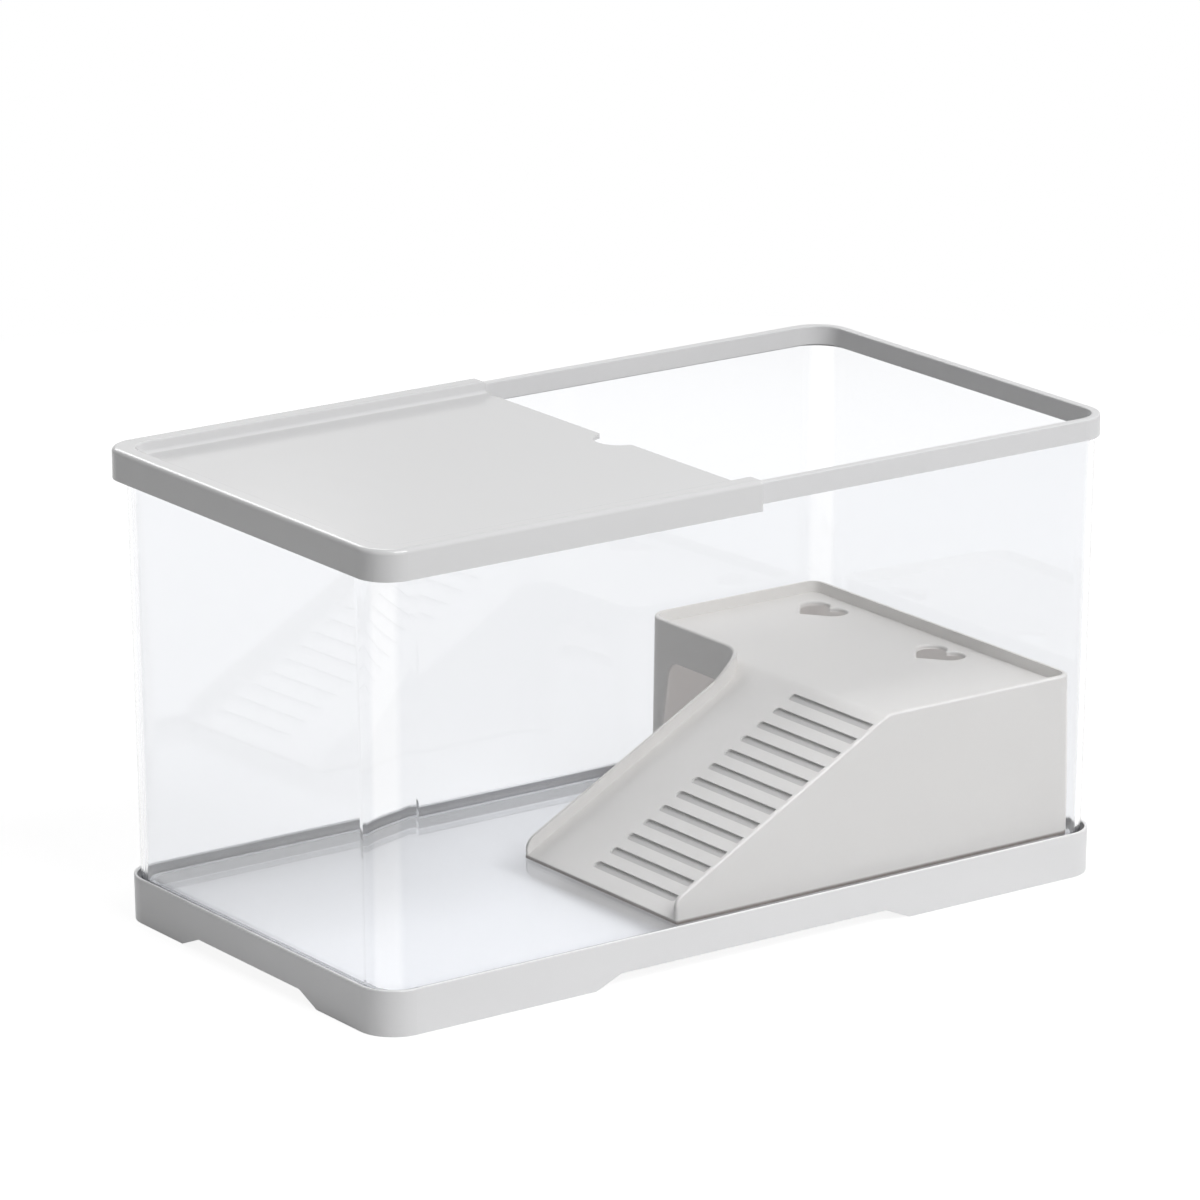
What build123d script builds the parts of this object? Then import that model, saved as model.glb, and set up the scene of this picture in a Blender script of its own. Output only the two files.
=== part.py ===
from build123d import *
import os
from math import asin, atan2, cos, hypot, radians, sin, tan

# A small moulded turtle tank in five nesting pieces, in millimetres.
# X runs along the length, Y to the back and Z up, and the feet stand on Z = 0.
# The pieces are drawn about the tank's middle and moved in X at the end, because
# the lid stands out past the rim on the left side only.

# Top rim, the ring on the tank's edge
rim_half_length = 183.0
rim_half_width = 98.65
rim_corner = 16.0
rim_top = 198.4
rim_skirt_bottom = 189.4
rim_inner_bottom = 190.2
rim_section = 3.7
rim_roof = 1.4
rim_edge_radius = 0.7

# Clear tank
shell_draft = 0.95
shell_set_in = 0.7
shell_wall = 2.3
shell_floor_top = 17.0
shell_floor_thickness = 2.5
shell_bottom_radius = 4.0
shell_inside_radius = 1.6
collar_outer_step = 0.4
collar_inner_step = 0.4
collar_clearance = 0.05
foot_ring_inset = 4.6
foot_ring_thickness = 2.3

# White tray under the tank
tray_top = 19.3
tray_half_length = 182.2
tray_half_width = 97.0
tray_corner = 16.0
tray_wall = 1.4
tray_draft = 1.0
tray_floor_top = 7.2
tray_floor_thickness = 2.0
tray_edge_radius = 0.5
cutaway_height = 5.2
cutaway_slope = 10.0
cutaway_top_radius = 3.5
cutaway_foot_radius = 2.5
cutaway_foot_rise = 1.0
front_cutaway_half = 77.0
side_cutaway_half = 47.0

# Half lid
lid_overhang = 2.35
lid_skirt_wall = 2.0
lid_corner = 14.0
lid_top = 200.0
lid_skirt_bottom = 187.2
lid_outer_radius = 2.0
lid_end_radius = 1.6
lid_nest_gap = 0.35
lid_nest_wall = 1.7
lid_panel_top = 194.9
lid_panel_thickness = 1.8
lid_mouth_radius = 0.8
lid_foot_radius = 1.4
notch_radius = 10.5
notch_centre = 1.5
notch_mouth_radius = 2.0

# Basking platform, whose outline is given at its foot
ramp_low_x = -34.0
house_left_x = 79.0
platform_right_x = 173.0
platform_front_y = -88.0
platform_back_y = 90.9
ramp_back_y = 18.4
platform_wall = 2.0
platform_draft = 0.8
lip_top = 86.0
deck_top = 81.0
deck_edge_x = 81.5
ramp_toe_height = 1.5
front_rail_crease_x = 74.4
back_rail_drop = 3.0
back_rail_dip_x = 62.0
back_rail_crease_x = 74.0
house_corner = 8.0
house_left_corner = 11.0
ramp_corner = 1.2
ramp_side_corner = 14.0
nose_radius = 7.0
crease_radius = 9.0
back_crease_radius = 24.0
lip_height = lip_top - deck_top
lip_edge_radius = 1.0

# Grip grooves in the ramp, hearts in the deck and the cave's door
groove_count = 13
groove_pitch = 8.32
groove_first_x = -25.4
groove_width = 4.0
groove_depth = 1.2
groove_front_y = -76.5
groove_back_y = -20.0
heart_x = 153.5
heart_ys = (-16.8, 64.3)
heart_lobe_radius = 6.4
heart_lobe_spacing = 12.4
heart_length = 19.4
heart_tip_radius = 1.2
heart_cleft_radius = 0.8
heart_edge_radius = 1.0
door_middle_y = 53.5
door_foot_half = 27.5
door_top_half = 19.0
door_top_z = 68.5
door_corner = 7.0
door_edge_radius = 0.6

centre_x = lid_overhang / 2
reach = 400.0


def block(half_length, half_width, corner, bottom, top, draft=0.0):
    """A block with rounded corners, sized at its bottom, that widens upwards by the draft."""
    outline = Pos(0, 0, bottom) * RectangleRounded(2 * half_length, 2 * half_width, corner)
    return extrude(outline, amount=top - bottom, taper=-draft)


def edges_at(shape, height):
    """The edges that lie in the level plane at this height."""
    return shape.edges().filter_by_position(Axis.Z, height - 0.01, height + 0.01)


def make_tray():
    bottom_step = tray_top * tan(radians(tray_draft))
    half_length = tray_half_length - bottom_step
    half_width = tray_half_width - bottom_step
    tray = block(half_length, half_width, tray_corner, 0, tray_top, tray_draft)
    inner_length = tray_half_length - tray_wall - (tray_top - tray_floor_top) * tan(radians(tray_draft))
    inner_width = inner_length - tray_half_length + tray_half_width
    inner_corner = tray_corner - tray_wall
    basin = block(inner_length, inner_width, inner_corner, tray_floor_top, tray_top, tray_draft)
    under_top = tray_floor_top - tray_floor_thickness
    underside = block(half_length - tray_wall, half_width - tray_wall, inner_corner, 0, under_top)
    tray = tray - basin - underside
    tray -= cutaway(front_cutaway_half, Plane.XZ)
    tray -= cutaway(side_cutaway_half, Plane.YZ)
    return fillet(edges_at(tray, tray_top), tray_edge_radius)


def cutaway(half_span, plane):
    """The gap between two corner feet, cut right through the skirt on both sides."""
    top_half = half_span - cutaway_slope
    foot_half = half_span + cutaway_foot_radius
    side = Polygon(
        (-foot_half, 0),
        (-half_span, cutaway_foot_rise),
        (-top_half, cutaway_height),
        (top_half, cutaway_height),
        (half_span, cutaway_foot_rise),
        (foot_half, 0),
        align=None,
    )
    side = fillet(side.vertices().group_by(Axis.Y)[-1], cutaway_top_radius)
    side = fillet(side.vertices().group_by(Axis.Y)[1], cutaway_foot_radius)
    return extrude(plane * side, amount=reach, both=True)


def make_shell():
    top_length = rim_half_length - shell_set_in
    top_width = rim_half_width - shell_set_in
    outer_corner = rim_corner - shell_set_in
    underside_z = shell_floor_top - shell_floor_thickness
    outer_step = (rim_skirt_bottom - underside_z) * tan(radians(shell_draft))
    base_length = top_length - outer_step
    base_width = top_width - outer_step
    shell = block(base_length, base_width, outer_corner, underside_z, rim_skirt_bottom, shell_draft)
    shell = fillet(edges_at(shell, underside_z), shell_bottom_radius)
    collar_length = top_length - collar_outer_step
    collar_width = top_width - collar_outer_step
    collar_top = rim_top - rim_roof
    shell += block(
        collar_length, collar_width, outer_corner - collar_outer_step, rim_skirt_bottom, collar_top
    )

    inner_step = (rim_inner_bottom - shell_floor_top) * tan(radians(shell_draft))
    mouth_length = top_length - shell_wall
    mouth_width = top_width - shell_wall
    inner_corner = outer_corner - shell_wall
    cavity = block(
        mouth_length - inner_step,
        mouth_width - inner_step,
        inner_corner,
        shell_floor_top,
        rim_inner_bottom,
        shell_draft,
    )
    cavity = fillet(edges_at(cavity, shell_floor_top), shell_inside_radius)
    cavity += block(
        mouth_length + collar_inner_step,
        mouth_width + collar_inner_step,
        inner_corner + collar_inner_step,
        rim_inner_bottom,
        collar_top,
    )
    shell -= cavity

    ring_length = base_length - foot_ring_inset
    ring_width = base_width - foot_ring_inset
    ring_corner = outer_corner - foot_ring_inset
    ring = block(ring_length, ring_width, ring_corner, tray_floor_top, underside_z)
    ring -= block(
        ring_length - foot_ring_thickness,
        ring_width - foot_ring_thickness,
        ring_corner - foot_ring_thickness,
        tray_floor_top,
        underside_z,
    )
    return shell + ring


def make_rim():
    opening_length = rim_half_length - rim_section
    opening_width = rim_half_width - rim_section
    opening_corner = rim_corner - rim_section
    rim = block(rim_half_length, rim_half_width, rim_corner, rim_skirt_bottom, rim_top)
    rim -= block(opening_length, opening_width, opening_corner, rim_skirt_bottom, rim_top)
    rim = fillet(edges_at(rim, rim_top), rim_edge_radius)

    outer_inset = shell_set_in + collar_outer_step - collar_clearance
    inner_inset = shell_set_in + shell_wall - collar_inner_step + collar_clearance
    roof = rim_top - rim_roof
    channel = block(
        rim_half_length - outer_inset,
        rim_half_width - outer_inset,
        rim_corner - outer_inset,
        rim_skirt_bottom,
        roof,
    )
    inner_leg = block(
        rim_half_length - inner_inset,
        rim_half_width - inner_inset,
        rim_corner - inner_inset,
        rim_inner_bottom,
        roof,
    )
    return rim - (channel - inner_leg)


def left_half_block(inset, corner, bottom, top, end_x=0.0, end_corner=0.0):
    """A block over the tank's left half, inset from the rim's outline, with its right end at end_x."""
    left = -rim_half_length + inset
    half_width = rim_half_width - inset
    outline = Pos((left + end_x) / 2, 0, bottom) * Rectangle(end_x - left, 2 * half_width)
    outline = fillet(outline.vertices().group_by(Axis.X)[0], corner)
    if end_corner > 0:
        outline = fillet(outline.vertices().group_by(Axis.X)[-1], end_corner)
    return extrude(outline, amount=top - bottom)


def make_lid():
    lid = left_half_block(-lid_overhang, lid_corner, lid_skirt_bottom, lid_top, 0, lid_end_radius)
    lid = fillet(edges_at(lid, lid_top), lid_outer_radius)
    skirt_inset = lid_skirt_wall - lid_overhang
    beyond = lid_overhang  # the two hollows run out past the lid's straight end
    lid -= left_half_block(skirt_inset, lid_corner - lid_skirt_wall, lid_skirt_bottom, rim_top, beyond)

    nest_inset = rim_section + lid_nest_gap
    panel_bottom = lid_panel_top - lid_panel_thickness
    lid += left_half_block(nest_inset, rim_corner - nest_inset, panel_bottom, rim_top, 0, lid_end_radius)
    recess_inset = nest_inset + lid_nest_wall
    recess_corner = rim_corner - recess_inset
    recess = left_half_block(recess_inset, recess_corner, lid_panel_top, lid_top, 2 * beyond)
    recess = fillet(edges_at(recess, lid_panel_top), lid_foot_radius)
    recess += left_half_block(0, rim_corner, lid_top, lid_top + lid_mouth_radius, 2 * beyond)
    mouth_half = rim_half_width - recess_inset + lid_mouth_radius
    mouth = edges_at(recess, lid_top).filter_by_position(Axis.Y, -mouth_half, mouth_half)
    mouth = mouth.filter_by_position(Axis.X, rim_half_width - rim_half_length - mouth_half, beyond)
    lid -= fillet(mouth, lid_mouth_radius)

    notch = Pos(notch_centre, 0, lid_panel_top) * Cylinder(notch_radius, 4 * lid_panel_thickness)
    lid -= notch
    notch_ends = lid.edges().filter_by(Axis.Z).filter_by_position(Axis.Y, -notch_radius, notch_radius)
    return fillet(notch_ends, notch_mouth_radius)


def slope():
    """The ramp's rise for each millimetre along X."""
    return (deck_top - shell_floor_top - ramp_toe_height) / (deck_edge_x - ramp_low_x)


def ramp_height(x):
    """The height of the ramp's surface at x."""
    return deck_top + (x - deck_edge_x) * slope()


def platform_plan(inset=0.0, toe_reach=0.0):
    """The platform seen from above: a house along the back and right, and a ramp in front of it.

    Inset moves every side inwards, and toe_reach moves the ramp's low end out again."""
    left = ramp_low_x + inset - toe_reach
    right = platform_right_x - inset
    front, back = platform_front_y + inset, platform_back_y - inset
    house_left, ramp_back = house_left_x + inset, ramp_back_y - inset
    plan = Polygon(
        (left, front),
        (right, front),
        (right, back),
        (house_left, back),
        (house_left, ramp_back),
        (left, ramp_back),
        align=None,
    )
    inside_corner = plan.vertices().sort_by_distance((house_left, ramp_back, 0))[0]
    plan = fillet(inside_corner, ramp_side_corner + inset)
    back_left = plan.vertices().sort_by_distance((house_left, back, 0))[0]
    plan = fillet(back_left, house_left_corner - inset)
    plan = fillet(plan.vertices().group_by(Axis.X)[-1], house_corner - inset)
    if inset < ramp_corner:
        plan = fillet(plan.vertices().group_by(Axis.X)[0], ramp_corner - inset)
    return plan


def side_block(points, front_y, back_y, rounded=()):
    """A solid with this outline in X and Z, from front_y to back_y. Rounded lists (point, radius)."""
    outline = Polygon(*points, align=None)
    for point, radius in rounded:
        vertex = outline.vertices().sort_by_distance((*point, 0))[0]
        outline = fillet(vertex, radius)
    plane = Plane(origin=(0, back_y, 0), x_dir=(1, 0, 0), z_dir=(0, -1, 0))
    return extrude(plane * outline, amount=back_y - front_y, dir=(0, -1, 0))


def rail_height(x):
    """The top of the front rail, which runs down beside the ramp from the deck's lip."""
    return lip_top + (x - front_rail_crease_x) * slope()


def platform_envelope():
    """Everything below the tops of the lips and rails, as two side outlines cut by the plan."""
    far_right = platform_right_x + platform_wall
    toe = (ramp_low_x, rail_height(ramp_low_x))
    crease = (front_rail_crease_x, lip_top)
    front = side_block(
        [(ramp_low_x, shell_floor_top), toe, crease, (far_right, lip_top), (far_right, shell_floor_top)],
        platform_front_y,
        platform_front_y + 2 * platform_wall,
        [(toe, nose_radius), (crease, crease_radius)],
    )
    back_toe = (ramp_low_x, rail_height(ramp_low_x) - back_rail_drop)
    dip = (back_rail_dip_x, rail_height(back_rail_dip_x) - back_rail_drop)
    back_crease = (back_rail_crease_x, lip_top)
    back = side_block(
        [
            (ramp_low_x, shell_floor_top),
            back_toe,
            dip,
            back_crease,
            (far_right, lip_top),
            (far_right, shell_floor_top),
        ],
        platform_front_y + 2 * platform_wall,
        platform_back_y,
        [(back_toe, nose_radius), (dip, crease_radius), (back_crease, back_crease_radius)],
    )
    return drafted(platform_plan()) & (front + back)


def drafted(plan):
    """This outline drawn up from the tank's floor past the lips, narrowing by the moulding's draft."""
    height = lip_top + lip_height - shell_floor_top
    return extrude(Pos(0, 0, shell_floor_top) * plan, amount=height, taper=platform_draft)


def platform_hollows():
    """The tray above the deck and ramp, and the cave below them, inside the walls."""
    far_left = ramp_low_x - platform_wall
    far_right = platform_right_x
    surface = [(far_left, ramp_height(far_left)), (deck_edge_x, deck_top), (far_right, deck_top)]
    above = side_block(
        [*surface, (far_right, reach), (far_left, reach)],
        platform_front_y,
        platform_back_y,
        [(surface[1], crease_radius)],
    )
    plate_drop = platform_wall * (1 + slope() ** 2) ** 0.5
    plate_bottom = deck_top - platform_wall
    under_edge_x = deck_edge_x + (plate_drop - platform_wall) / slope()
    toe_x = deck_edge_x - (deck_top - plate_drop - shell_floor_top) / slope()
    below = side_block(
        [
            (toe_x, shell_floor_top),
            (under_edge_x, plate_bottom),
            (far_right, plate_bottom),
            (far_right, shell_floor_top),
        ],
        platform_front_y,
        platform_back_y,
    )
    tray_plan = platform_plan(platform_wall, 2 * platform_wall)
    return drafted(tray_plan) & above, drafted(platform_plan(platform_wall)) & below


def grip_grooves():
    """Round-ended grooves across the ramp, each sunk square to its surface."""
    angle = atan2(slope(), 1)
    length = groove_back_y - groove_front_y
    middle_y = (groove_back_y + groove_front_y) / 2
    grooves = []
    for index in range(groove_count):
        x = groove_first_x + index * groove_pitch
        surface = Plane(
            origin=(x, middle_y, ramp_height(x)),
            x_dir=(0, 1, 0),
            z_dir=(-sin(angle), 0, cos(angle)),
        )
        grooves.append(extrude(surface * SlotOverall(length, groove_width), amount=groove_depth, both=True))
    return grooves


def heart_outline():
    """A heart with its point towards the ramp: two round lobes and the tangents from its tip."""
    lobe_x = heart_length / 2 - heart_lobe_radius
    tip_x = -heart_length / 2
    lobe_y = heart_lobe_spacing / 2
    reach_to_lobe = hypot(lobe_x - tip_x, lobe_y)
    spread = atan2(lobe_y, lobe_x - tip_x) + asin(heart_lobe_radius / reach_to_lobe)
    side = (reach_to_lobe**2 - heart_lobe_radius**2) ** 0.5
    touch_x = tip_x + side * cos(spread)
    touch_y = side * sin(spread)
    heart = Polygon(
        (tip_x, 0),
        (touch_x, -touch_y),
        (lobe_x, -lobe_y),
        (lobe_x, lobe_y),
        (touch_x, touch_y),
        align=None,
    )
    for y in (-lobe_y, lobe_y):
        heart += Pos(lobe_x, y) * Circle(heart_lobe_radius)
    heart = fillet(heart.vertices().group_by(Axis.X)[0], heart_tip_radius)
    cleft = heart.vertices().sort_by_distance((lobe_x + heart_lobe_radius / 2, 0, 0))[0]
    return fillet(cleft, heart_cleft_radius)


def cut_door(platform):
    """The cave's door, cut through the house's left wall, with its outer edge rounded."""
    door = Polygon(
        (door_middle_y - door_foot_half, shell_floor_top - platform_wall),
        (door_middle_y - door_top_half, door_top_z),
        (door_middle_y + door_top_half, door_top_z),
        (door_middle_y + door_foot_half, shell_floor_top - platform_wall),
        align=None,
    )
    door = fillet(door.vertices().group_by(Axis.Y)[-1], door_corner)
    platform -= extrude(Plane.YZ.offset(house_left_x) * door, amount=2 * platform_wall, both=True)

    def on_door(edge):
        middle = edge.center()
        wall_x = house_left_x + (middle.Z - shell_floor_top) * tan(radians(platform_draft))
        beside = abs(middle.Y - door_middle_y) < door_foot_half
        return beside and abs(middle.X - wall_x) < 0.05 and middle.Z > shell_floor_top + 1

    return fillet(platform.edges().filter_by(on_door), door_edge_radius)


def make_platform():
    tray, cave = platform_hollows()
    platform = platform_envelope() - tray - cave
    right_edge = edges_at(platform, lip_top).sort_by(Axis.X)[-1]
    platform = fillet(right_edge, lip_edge_radius)  # it runs on along the whole lip and both rails
    for groove in grip_grooves():
        platform -= groove
    for y in heart_ys:
        hole = Pos(heart_x, y, deck_top - 2 * platform_wall) * heart_outline()
        platform -= extrude(hole, amount=3 * platform_wall)
        rim = edges_at(platform, deck_top).filter_by_position(Axis.Y, y - heart_length, y + heart_length)
        rim = rim.filter_by_position(Axis.X, heart_x - heart_length, heart_x + heart_length / 2)
        platform = fillet(rim, heart_edge_radius)
    return cut_door(platform)


def main():
    os.makedirs("parts", exist_ok=True)
    pieces = {
        "base_tray": make_tray,
        "tank_shell": make_shell,
        "top_rim": make_rim,
        "half_lid": make_lid,
        "basking_platform": make_platform,
    }
    for node, make in pieces.items():
        piece = Pos(centre_x, 0, 0) * make()
        export_step(piece, f"parts/{node}.step")
        print(node, len(piece.solids()), "solid", round(piece.volume / 1000, 1), "cm3")


main()
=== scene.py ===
from math import cos, radians, sin

import bmesh
import bpy
from mathutils import Matrix, Vector

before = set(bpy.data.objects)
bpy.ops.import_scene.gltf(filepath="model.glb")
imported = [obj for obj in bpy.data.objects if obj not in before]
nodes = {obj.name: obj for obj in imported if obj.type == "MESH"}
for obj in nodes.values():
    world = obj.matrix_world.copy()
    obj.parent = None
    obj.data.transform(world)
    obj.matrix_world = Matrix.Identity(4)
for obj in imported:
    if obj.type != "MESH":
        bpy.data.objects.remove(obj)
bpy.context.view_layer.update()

print("turtle tank: frame loaded,", len(nodes), "moulded parts")


class Wire:
    # one socket of a material; sums on it become Math nodes
    def __init__(self, socket):
        self.socket = socket

    def maths(self, operation, first, second):
        made = self.socket.id_data.nodes.new("ShaderNodeMath")
        made.operation = operation
        plug(made.inputs[0], first)
        plug(made.inputs[1], second)
        return Wire(made.outputs[0])

    def __add__(self, other):
        return self.maths("ADD", self, other)

    def __sub__(self, other):
        return self.maths("SUBTRACT", self, other)

    def __rsub__(self, other):
        return self.maths("SUBTRACT", other, self)

    def __mul__(self, other):
        return self.maths("MULTIPLY", self, other)

    __radd__ = __add__
    __rmul__ = __mul__

    def most(self, other):
        return self.maths("MAXIMUM", self, other)

    def least(self, other):
        return self.maths("MINIMUM", self, other)

    def size(self):
        return self.maths("ABSOLUTE", self, 0.0)

    def rise(self, start, end):
        # 0 up to start, 1 from end on, and a straight climb between them
        made = self.socket.id_data.nodes.new("ShaderNodeMapRange")
        for key, value in (("Value", self), ("From Min", start), ("From Max", end)):
            plug(made.inputs[key], value)
        return Wire(made.outputs["Result"])

    def fall(self, start, end):
        # 1 up to start, 0 from end on, and a straight drop between them
        return 1 - self.rise(start, end)

    def between(self, climb, drop):
        # 1 from the end of the climb to the start of the drop, and 0 outside both
        return self.rise(*climb) * self.fall(*drop)


def plug(socket, value):
    if isinstance(value, Wire):
        socket.id_data.links.new(value.socket, socket)
    else:
        socket.default_value = value


class Finish:
    # a material, or the world, being wired up
    def __init__(self, name, owner=None):
        self.owner = owner or bpy.data.materials.new(name)
        self.owner.use_nodes = True
        self.tree = self.owner.node_tree
        self.tree.nodes.clear()

    def add(self, kind, sockets=None, settings=None, out=0):
        made = self.tree.nodes.new(kind)
        for key, value in (settings or {}).items():
            setattr(made, key, value)
        for key, value in (sockets or {}).items():
            plug(made.inputs[key], value)
        return Wire(made.outputs[out])

    def place(self, scale=(1, 1, 1)):
        spot = self.add("ShaderNodeTexCoord", out="Object")
        return self.add("ShaderNodeMapping", {"Vector": spot, "Scale": scale})

    def along(self):
        # the three object coordinates one by one, in metres
        parts = self.tree.nodes.new("ShaderNodeSeparateXYZ")
        plug(parts.inputs[0], self.add("ShaderNodeTexCoord", out="Object"))
        return [Wire(socket) for socket in parts.outputs]

    def noise(self, spot, scale, detail, rough=0.5):
        return self.add("ShaderNodeTexNoise", {
            "Vector": spot, "Scale": scale, "Detail": detail, "Roughness": rough}, out="Fac")

    def blendColour(self, share, first, second):
        # sockets 6 and 7 and output 2 are the Mix node's colour ones
        return self.add(
            "ShaderNodeMix", {0: share, 6: first, 7: second}, {"data_type": "RGBA"}, out=2)

    def bump(self, strength, depth, height):
        return self.add("ShaderNodeBump", {
            "Strength": strength, "Distance": depth, "Height": height}, out="Normal")

    def show(self, shader):
        isWorld = isinstance(self.owner, bpy.types.World)
        made = self.tree.nodes.new(
            "ShaderNodeOutputWorld" if isWorld else "ShaderNodeOutputMaterial")
        plug(made.inputs["Surface"], shader)
        return self.owner


def insideSkirt(finish, gapShade):
    # 1 on the inner side of the tray's skirt, and 0 elsewhere: where it is 1 the colour is darkened
    # as painted shade, standing in for the tank's shade on it
    x, y, z = finish.along()
    overX = ((x - gapShade["middleX"]).size() - gapShade["straightX"]).most(0.0)
    overY = (y.size() - gapShade["straightY"]).most(0.0)
    apart = overX * overX + overY * overY
    return apart.fall(gapShade["inner"] ** 2, gapShade["outer"] ** 2) * z.between(gapShade["foot"], gapShade["top"])


def nearFoot(finish, shade):
    # 1 along the platform's foot, where it meets the tank's floor: a thin dark line of painted
    # shade there
    return finish.along()[2].fall(*shade["drop"])


def inGrooves(finish, grooveShade):
    # 1 in the ramp's grooves, below its surface and above its underside, where the groove beds are
    # darkened as painted shade
    x, y, z = finish.along()
    below = (x - grooveShade["edgeX"]) * grooveShade["slope"] + grooveShade["deck"] - z
    span = x.between(grooveShade["startX"], grooveShade["endX"]) * y.between(grooveShade["startY"], grooveShade["endY"])
    return span * below.between(grooveShade["lip"], grooveShade["bed"])


def inBasin(finish, glow):
    # 1 on the tray's floor, which is given a faint glow of its own as painted light to brighten it
    x, y, z = finish.along()
    inside = (x - glow["middleX"]).size().fall(*glow["endX"]) * y.size().fall(*glow["endY"])
    return inside * z.between(glow["foot"], glow["top"])


def inCave(finish, glow):
    # 1 on the cave's own walls and roof, which are given a faint glow of their own as painted light
    x, y, z = finish.along()
    lean = (z - glow["floor"]) * glow["draft"]
    overhead = glow["roof"] - z
    ramp = (x - glow["edgeX"]) * glow["slope"] + overhead  # room below the ramp's underside

    def clear(room):
        return room.rise(0, glow["blend"])

    front = clear(y - lean - glow["frontY"])
    back = clear(glow["backY"] - y - lean)
    right = clear(glow["rightX"] - x - lean)
    left = clear(x - lean - glow["houseX"]).most(clear(glow["rampY"] - y - lean) * clear(ramp))
    return front * back * right * clear(overhead) * left


def cornerHighlight(finish, highlightBand):
    # 1 in a soft upright band on each rounded corner, where a lighter tint is put as a painted
    # highlight
    x, y, z = finish.along()
    lean = (highlightBand["top"] - z) * highlightBand["draft"]
    across = (x - highlightBand["middleX"]).size() + lean
    strip = across.between(
        (highlightBand["start"] - highlightBand["soft"], highlightBand["start"]), (highlightBand["end"], highlightBand["end"] + highlightBand["soft"]))
    return strip * (y.size() + lean).rise(highlightBand["side"], highlightBand["side"] + highlightBand["soft"])


# where each painted shade and each painted glow of a look lies
shades = {"gapShade": insideSkirt, "footShade": nearFoot, "grooveShade": inGrooves}
glows = {"basinGlow": inBasin, "caveGlow": inCave}


def moulded(name, look):
    # opaque injection-moulded plastic: slow shade drift, fine grain and faint handling marks, and
    # where a look asks for them, painted shade and a painted glow
    finish = Finish(name)
    spot = finish.place()
    drift = finish.noise(spot, look["driftScale"], look["driftDetail"])
    grain = finish.noise(spot, look["grainScale"], look["grainDetail"])
    marks = finish.noise(
        finish.place(look["markStretch"]), look["markScale"], look["markDetail"], look["markRough"])
    colour = finish.blendColour(drift, look["shade"], look["colour"])
    # painted shade: darker colour in the masks above, where shade falls
    for key, mask in shades.items():
        if key in look:
            colour = finish.blendColour(mask(finish, look[key]), colour, look[key]["colour"])
    shader = finish.add("ShaderNodeBsdfPrincipled", {
        "Base Color": colour, "IOR": look["ior"],
        "Roughness": look["rough"] + (marks - look["markMiddle"]) * look["roughSpread"],
        "Normal": finish.bump(look["grainStrength"], look["grainDepth"], grain)})
    inputs = shader.socket.node.inputs
    # painted light: a faint glow of the part's own in the masks above
    for key, mask in glows.items():
        if key in look:
            glow = look[key]
            plug(inputs["Emission Strength"], glow["strength"])
            plug(inputs["Emission Color"], finish.blendColour(
                mask(finish, glow), glow["none"], glow["colour"]))
    return finish.show(shader)


def clearMoulded(name, look):
    # clear plastic: a faint cool tint, a painted highlight band on each rounded corner, slight
    # waviness, and lamps shine through it
    finish = Finish(name)
    spot = finish.place()
    haze = finish.noise(spot, look["hazeScale"], look["hazeDetail"])
    wave = finish.noise(spot, look["waveScale"], look["waveDetail"])
    tintAndHighlight = finish.blendColour(haze, look["shade"], look["colour"])
    # painted highlight: a lighter tint in an upright band on each rounded corner
    tintAndHighlight = finish.blendColour(cornerHighlight(finish, look["highlightBand"]), tintAndHighlight, look["highlightBand"]["colour"])
    body = finish.add("ShaderNodeBsdfPrincipled", {
        "Base Color": tintAndHighlight, "Roughness": look["rough"] + haze * look["roughSpread"],
        "IOR": look["ior"], "Transmission Weight": look["transmission"],
        "Normal": finish.bump(look["waveStrength"], look["waveDepth"], wave)})
    lampPath = finish.add("ShaderNodeLightPath", out="Is Shadow Ray")
    through = finish.add("ShaderNodeBsdfTransparent", {"Color": look["lampTint"]})
    return finish.show(finish.add("ShaderNodeMixShader", {0: lampPath, 1: body, 2: through}))


whitePlastic = {
    "colour": (0.90, 0.90, 0.905, 1), "shade": (0.87, 0.87, 0.88, 1), "ior": 1.5,
    "driftScale": 9.0, "driftDetail": 3.0, "rough": 0.34, "roughSpread": 0.10,
    "markScale": 60.0, "markStretch": (1.0, 1.0, 4.0), "markDetail": 4.0, "markRough": 0.6,
    "markMiddle": 0.5, "grainScale": 2600.0, "grainDetail": 2.0,
    "grainStrength": 0.18, "grainDepth": 0.00006,
}
trayPlastic = whitePlastic | {
    # painted shade: a dark grey on the inner side of the tray's skirt
    "gapShade": {
        "colour": (0.29, 0.29, 0.30, 1), "middleX": 0.001175, "straightX": 0.1662,
        "straightY": 0.0810, "inner": 0.0150, "outer": 0.0154,
        "foot": (0.0074, 0.0078), "top": (0.0186, 0.0189),
    },
    # painted light: a faint glow on the tray's floor
    "basinGlow": {
        "colour": (0.96, 0.97, 1.0, 1), "none": (0, 0, 0, 1), "strength": 0.18,
        "middleX": 0.001175, "endX": (0.170, 0.178), "endY": (0.085, 0.093),
        "foot": (0.0068, 0.0071), "top": (0.0074, 0.0077),
    },
}
rimPlastic = whitePlastic | {"colour": (0.78, 0.78, 0.785, 1), "shade": (0.75, 0.75, 0.76, 1)}
lidPlastic = whitePlastic | {
    "colour": (0.775, 0.775, 0.78, 1), "shade": (0.745, 0.745, 0.75, 1),
    "driftScale": 7.0, "rough": 0.13, "roughSpread": 0.06,
    "markScale": 40.0, "markStretch": (3.0, 1.0, 1.0),
    "grainScale": 2200.0, "grainStrength": 0.08, "grainDepth": 0.00004,
}
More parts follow.
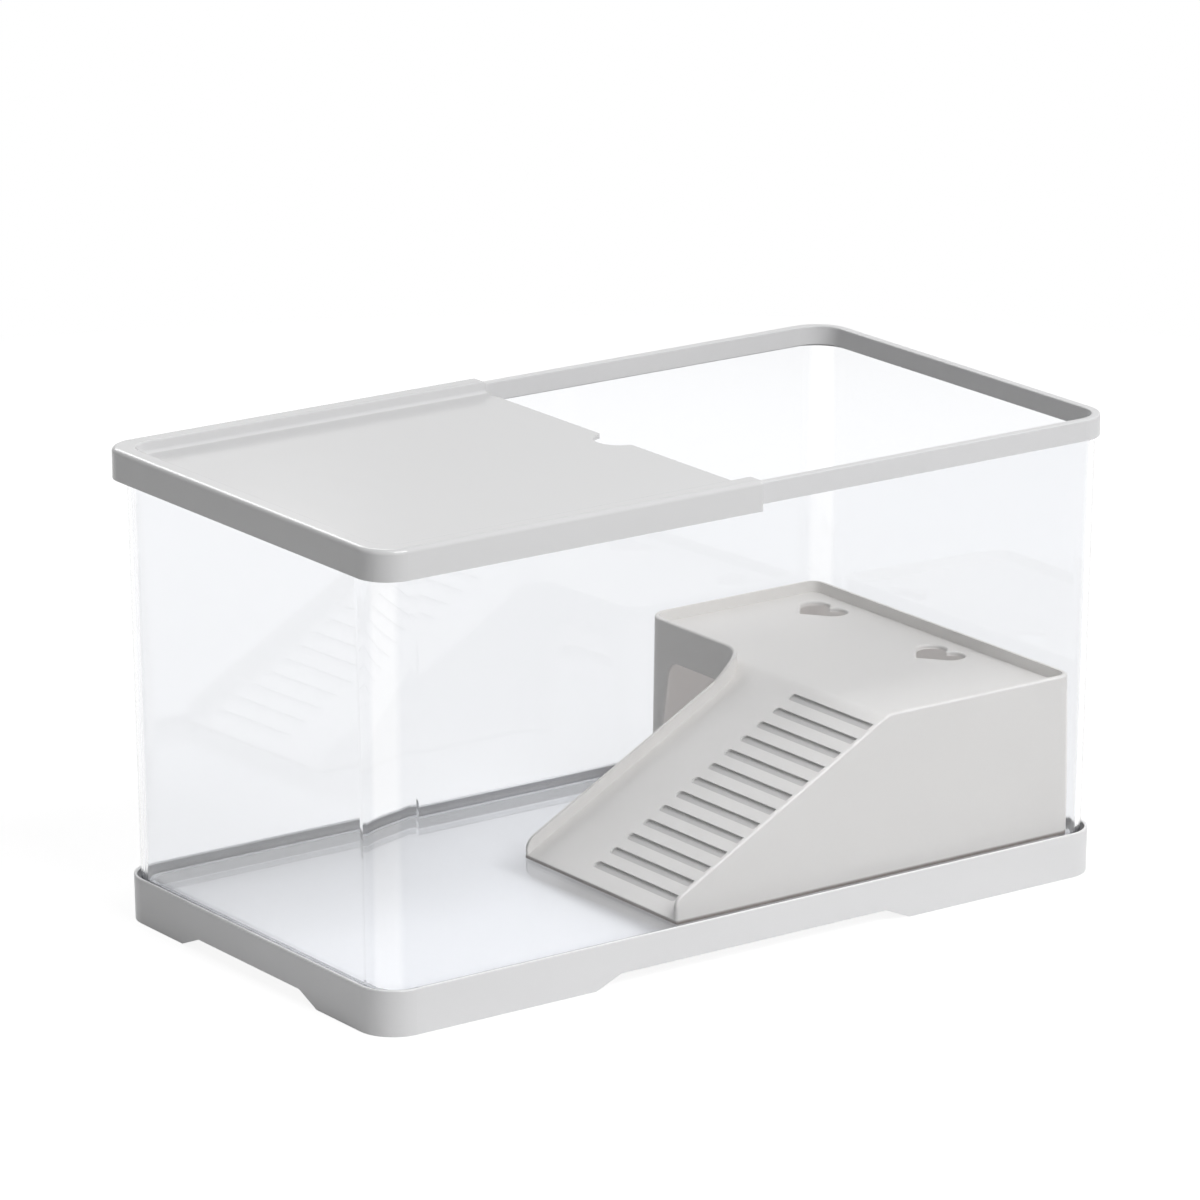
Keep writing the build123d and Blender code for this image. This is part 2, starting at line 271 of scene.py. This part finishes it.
warmGreyPlastic = whitePlastic | {
    "colour": (0.76, 0.742, 0.718, 1), "shade": (0.72, 0.702, 0.68, 1),
    "driftScale": 11.0, "rough": 0.42,
    "markScale": 55.0, "markStretch": (1.0, 2.0, 1.0),
    "grainScale": 2400.0, "grainStrength": 0.22, "grainDepth": 0.00007,
    # painted shade: a thin dark line along the platform's foot
    "footShade": {"colour": (0.22, 0.19, 0.17, 1), "drop": (0.0178, 0.0188)},
    # painted shade: darker groove beds on the ramp
    "grooveShade": {
        "colour": (0.50, 0.49, 0.48, 1), "edgeX": 0.082675, "deck": 0.081, "slope": 0.5412,
        "startX": (-0.030, -0.029), "endX": (0.080, 0.081),
        "startY": (-0.078, -0.077), "endY": (-0.019, -0.018),
        "lip": (0.0001, 0.0008), "bed": (0.0016, 0.0019),
    },
    # painted light: a faint glow on the cave's walls and roof
    "caveGlow": {
        "colour": (0.49, 0.46, 0.45, 1), "none": (0, 0, 0, 1), "strength": 0.28,
        "floor": 0.017, "draft": 0.014, "blend": 0.0005, "frontY": -0.0873, "backY": 0.0902,
        "rightX": 0.1735, "houseX": 0.0809, "rampY": 0.0177,
        "roof": 0.0797, "edgeX": 0.0829, "slope": 0.5412,
    },
}
clearPlastic = {
    "colour": (0.918, 0.924, 0.936, 1), "shade": (0.905, 0.912, 0.926, 1),
    "hazeScale": 8.0, "hazeDetail": 3.0, "rough": 0.0, "roughSpread": 0.02,
    "waveScale": 14.0, "waveDetail": 1.0, "waveStrength": 0.05, "waveDepth": 0.0004,
    "lampTint": (0.93, 0.932, 0.935, 1), "ior": 1.49, "transmission": 1.0,
    # painted highlight on the tank's rounded corners
    "highlightBand": {
        "colour": (0.992, 0.993, 0.996, 1), "middleX": 0.001175, "start": 0.1735,
        "end": 0.1800, "soft": 0.0015, "side": 0.0860, "top": 0.1894, "draft": 0.0166,
    },
}

finishes = {
    "base_tray": moulded("trayPlastic", trayPlastic),
    "top_rim": moulded("rimPlastic", rimPlastic),
    "half_lid": moulded("lidPlastic", lidPlastic),
    "basking_platform": moulded("warmGreyPlastic", warmGreyPlastic),
    "tank_shell": clearMoulded("clearPlastic", clearPlastic),
}
for name, material in finishes.items():
    for slotHolder in nodes[name].material_slots:
        slotHolder.material = material
print("finishes on", ", ".join(sorted(finishes)))

floorLook = {
    "size": 24.0, "drop": 0.0002, "colour": (0.62, 0.62, 0.62, 1),
    "whiteShare": 0.6, "whiteStrength": 1.0,
    "nearWhite": (1.5, 1.5, 1.5, 1), "farWhite": (1, 1, 1, 1), "farStart": 0.4, "farEnd": 1.0,
}


def makeFloor(look):
    form = bmesh.new()
    bmesh.ops.create_grid(form, x_segments=1, y_segments=1, size=look["size"] / 2)
    bmesh.ops.translate(form, verts=form.verts, vec=(0, 0, -look["drop"]))
    mesh = bpy.data.meshes.new("studioFloor")
    form.to_mesh(mesh)
    form.free()
    floor = bpy.data.objects.new("studioFloor", mesh)
    bpy.context.scene.collection.objects.link(floor)
    finish = Finish("studioFloor")
    matte = finish.add("ShaderNodeBsdfDiffuse", {"Color": look["colour"]})
    x, y = finish.along()[:2]
    far = (x * x + y * y).rise(look["farStart"] ** 2, look["farEnd"] ** 2)
    white = finish.add("ShaderNodeEmission", {
        "Color": finish.blendColour(far, look["nearWhite"], look["farWhite"]),
        "Strength": look["whiteStrength"]})
    share = look["whiteShare"] + far * (1 - look["whiteShare"])
    mesh.materials.append(finish.show(finish.add("ShaderNodeMixShader", {
        0: seenDirectly(finish) * share, 1: matte, 2: white})))


def seenDirectly(finish):
    # 1 for rays from the camera, a mirror or glass
    # 0 for light that falls on things, also when it comes through the glass
    rays = [finish.add("ShaderNodeLightPath", out=kind)
            for kind in ("Is Camera Ray", "Is Glossy Ray", "Is Transmission Ray")]
    scattered = finish.add("ShaderNodeLightPath", out="Diffuse Depth")
    return rays[0].most(rays[1]).most(rays[2]) * (1 - scattered.least(1.0))


roomLook = {"colour": (1, 1, 1, 1), "fill": 0.14, "white": 1.0}


def makeRoom(look):
    room = Finish("studioRoom", bpy.data.worlds.new("studioRoom"))
    strength = look["fill"] + seenDirectly(room) * (look["white"] - look["fill"])
    bpy.context.scene.world = room.show(room.add(
        "ShaderNodeBackground", {"Color": look["colour"], "Strength": strength}))


def towards(turn, rise):
    # the direction from the object to a point turned round from the front and raised, in degrees
    turn, rise = radians(turn), radians(rise)
    return Vector((sin(turn) * cos(rise), -cos(turn) * cos(rise), sin(rise)))


# softboxes: degrees round from the front, degrees up, metres away, size and power
softboxes = {
    "frontKey": {
        "turn": 8.0, "rise": 47.0, "away": 2.6, "wide": 1.4, "tall": 1.4, "power": 47.0},
    "topWash": {
        "turn": 10.0, "rise": 84.0, "away": 2.6, "wide": 1.2, "tall": 1.2, "power": 4.0},
    "backFill": {
        "turn": 165.0, "rise": 32.0, "away": 2.6, "wide": 1.4, "tall": 1.0, "power": 13.0},
    "rightStrip": {
        "turn": 75.0, "rise": 18.0, "away": 2.4, "wide": 0.35, "tall": 1.6, "power": 5.0},
    "leftStrip": {
        "turn": -75.0, "rise": 20.0, "away": 2.4, "wide": 0.3, "tall": 1.6, "power": 1.0},
}
softboxAim = Vector((0, 0, 0.1))  # the middle of the tank


def makeSoftboxes(boxes, aim):
    for name, box in boxes.items():
        back = towards(box["turn"], box["rise"])
        lamp = bpy.data.lights.new(name, "AREA")
        lamp.shape, lamp.size, lamp.size_y = "RECTANGLE", box["wide"], box["tall"]
        lamp.energy = box["power"]
        holder = bpy.data.objects.new(name, lamp)
        holder.visible_transmission = False  # light through the tank is counted once
        holder.matrix_world = Matrix.Translation(aim + back * box["away"]) @ (
            (-back).to_track_quat("-Z", "Y").to_matrix().to_4x4())
        bpy.context.scene.collection.objects.link(holder)


makeFloor(floorLook)
makeRoom(roomLook)
makeSoftboxes(softboxes, softboxAim)
print("studio made")

# the photograph's viewpoint, found from the tank's corners; lengths in tank lengths of 0.366 m
photoView = {
    "turn": -35.7306, "rise": 16.2643, "away": 7.8924, "middleUp": 0.271,
    "across": 615.7591, "down": 663.5307, "focal": 7007.6449, "pixels": 1200,
    "tankLength": 0.366, "shiftX": 0.001175, "sensor": 36.0,
    "clipNear": 0.1, "clipFar": 60.0,
}


def makeCamera(view):
    back = towards(view["turn"], view["rise"])
    turn = radians(view["turn"])
    right = Vector((cos(turn), sin(turn), 0))
    up = back.cross(right)
    middle = view["pixels"] / 2
    aside = (view["across"] - middle) / view["focal"] * view["away"]
    over = -(view["down"] - middle) / view["focal"] * view["away"]
    spot = Vector((0, 0, view["middleUp"])) + back * view["away"] - right * aside - up * over
    spot = spot * view["tankLength"] + Vector((view["shiftX"], 0, 0))
    camera = bpy.data.cameras.new("photoCamera")
    camera.sensor_width = view["sensor"]
    camera.lens = view["focal"] / view["pixels"] * view["sensor"]
    camera.clip_start, camera.clip_end = view["clipNear"], view["clipFar"]
    holder = bpy.data.objects.new("photoCamera", camera)
    turned = Matrix((right, up, back)).transposed().to_4x4()
    holder.matrix_world = Matrix.Translation(spot) @ turned
    bpy.context.scene.collection.objects.link(holder)
    bpy.context.scene.camera = holder


makeCamera(photoView)
bpy.context.scene.view_settings.view_transform = "Standard"
print("camera set")
